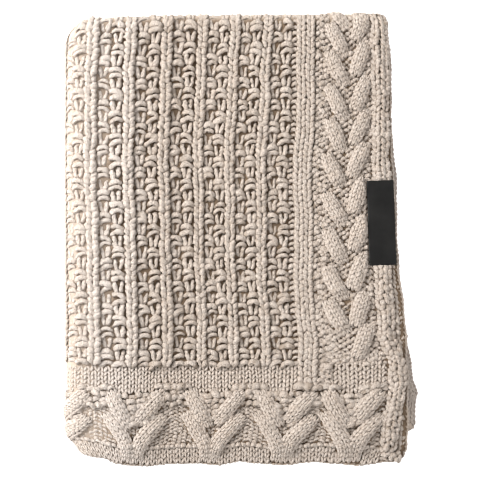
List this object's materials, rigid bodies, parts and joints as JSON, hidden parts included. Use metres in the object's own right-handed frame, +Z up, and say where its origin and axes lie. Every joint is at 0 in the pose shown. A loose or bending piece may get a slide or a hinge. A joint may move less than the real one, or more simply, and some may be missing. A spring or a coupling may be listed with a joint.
{
  "type": "folded baby blanket",
  "caption": "Chunky cable-knit baby blanket, folded in four into a flat oblong, with a blank black woven label sewn on its right edge.",
  "frame": {"origin": "centre of the folded blanket's outline, on the surface it lies on", "axes": "+Y along the folded length towards the top fold, +Z up, +X from the left fold towards the free right edges"},
  "size_m": [0.3906, 0.5011, 0.0421],
  "materials": {
    "knit": "matt, soft twisted wool or cotton yarn, oatmeal beige",
    "label": "woven polyester satin, black, slight sheen"
  },
  "bodies": {
    "root": {"blanket": "knit", "label": "label"}
  },
  "joints": []
}
